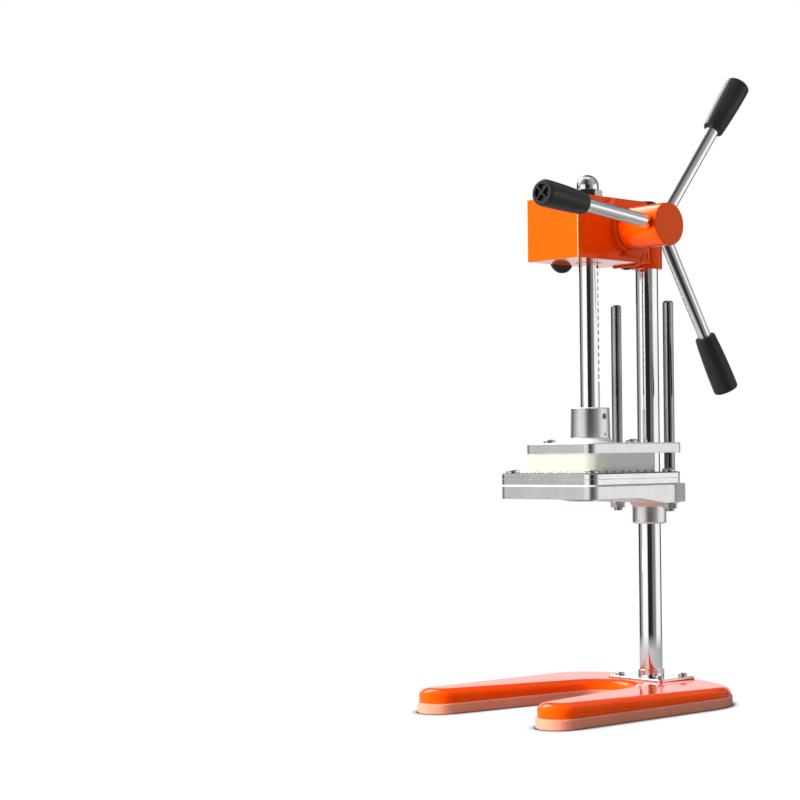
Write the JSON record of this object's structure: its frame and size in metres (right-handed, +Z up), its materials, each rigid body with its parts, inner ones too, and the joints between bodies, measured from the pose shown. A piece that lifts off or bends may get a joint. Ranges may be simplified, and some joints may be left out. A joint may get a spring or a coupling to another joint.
{
  "type": "vegetable dicer",
  "caption": "Upright hand press: a spoked handwheel drives a rack that pushes a slotted block through a square blade grid on a column above a horseshoe base.",
  "frame": {"origin": "column axis at the underside of the base pad", "axes": "+Z up along the column, -Y towards the user and the open end of the horseshoe, +X towards the handwheel"},
  "size_m": [0.214, 0.2636, 0.5701],
  "materials": {
    "orange_paint": "high-gloss enamel over steel and cast iron",
    "base_pad": "dense matt rubber sheet, brick pink",
    "chrome": "polished chrome plate",
    "cast_aluminium": "cast and machined, fine satin",
    "cassette_plate": "brushed stainless plate",
    "blade_steel": "ground blade steel",
    "nylon": "machined cream nylon",
    "bronze": "oiled bearing bronze",
    "black_plastic": "moulded black plastic, satin",
    "gear_steel": "machined steel, lightly oiled",
    "fastener_steel": "bright zinc and stainless fasteners"
  },
  "bodies": {
    "stand": {"base_pad": "base_pad", "base_casting": "orange_paint", "column_flange": "chrome", "flange_screws": "fastener_steel", "column_tube": "chrome", "column_cap": "black_plastic", "bracket_casting": "cast_aluminium", "bracket_set_screw": "fastener_steel", "guide_rods": "chrome", "rod_washers": "fastener_steel", "rod_nuts": "fastener_steel", "blade_frame_lower": "cassette_plate", "blade_frame_upper": "cassette_plate", "blades_cross": "blade_steel", "blades_long": "blade_steel", "cassette_screws": "fastener_steel", "cassette_mounting_screws": "fastener_steel", "head_housing": "orange_paint", "head_neck": "orange_paint", "head_socket": "orange_paint", "plunger_bush_upper": "bronze", "plunger_bush_lower": "bronze", "bearing_seat": "orange_paint", "shaft_bush_near": "bronze", "shaft_bush_far": "bronze"},
    "press": {"plunger_rack": "chrome", "stop_washer": "chrome", "cap_nut": "chrome", "presser_plate": "cast_aluminium", "presser_set_screw": "fastener_steel", "pusher_block": "nylon", "pusher_bolts": "fastener_steel"},
    "wheel": {"pinion_shaft": "gear_steel", "pinion_gear": "gear_steel", "pinion_pin": "gear_steel", "handle_hub": "orange_paint", "hub_set_screw": "fastener_steel", "shaft_washer": "fastener_steel", "shaft_end_screw": "fastener_steel", "spoke_1": "chrome", "grip_1": "black_plastic", "spoke_2": "chrome", "grip_2": "black_plastic", "spoke_3": "chrome", "grip_3": "black_plastic"},
    "friction_clamp": {"friction_knob": "black_plastic", "friction_stud": "fastener_steel"},
    "column_clamp": {"head_clamp_knob": "black_plastic", "head_clamp_stud": "fastener_steel"}
  },
  "joints": [
    {"name": "wheel_turn", "type": "hinge", "parent": "stand", "child": "wheel", "pos_m": [0, -0.05868, 0.4305], "axis": [-1, 0, 0], "range_deg": [0, 483.3]},
    {"name": "press_slide", "type": "slide", "parent": "stand", "child": "press", "axis": [0, 0, 1], "range_m": [0, 0.125]},
    {"name": "friction_knob_turn", "type": "hinge", "parent": "stand", "child": "friction_clamp", "pos_m": [-0.04, -0.078, 0.4092], "axis": [-1, 0, 0], "continuous": true},
    {"name": "head_clamp_turn", "type": "hinge", "parent": "stand", "child": "column_clamp", "pos_m": [-0.024, 0, 0.4163], "axis": [-1, 0, 0], "continuous": true}
  ],
  "couplings": [
    {"joint": "press_slide", "follows": "wheel_turn", "m_per_rad": 0.014817}
  ]
}
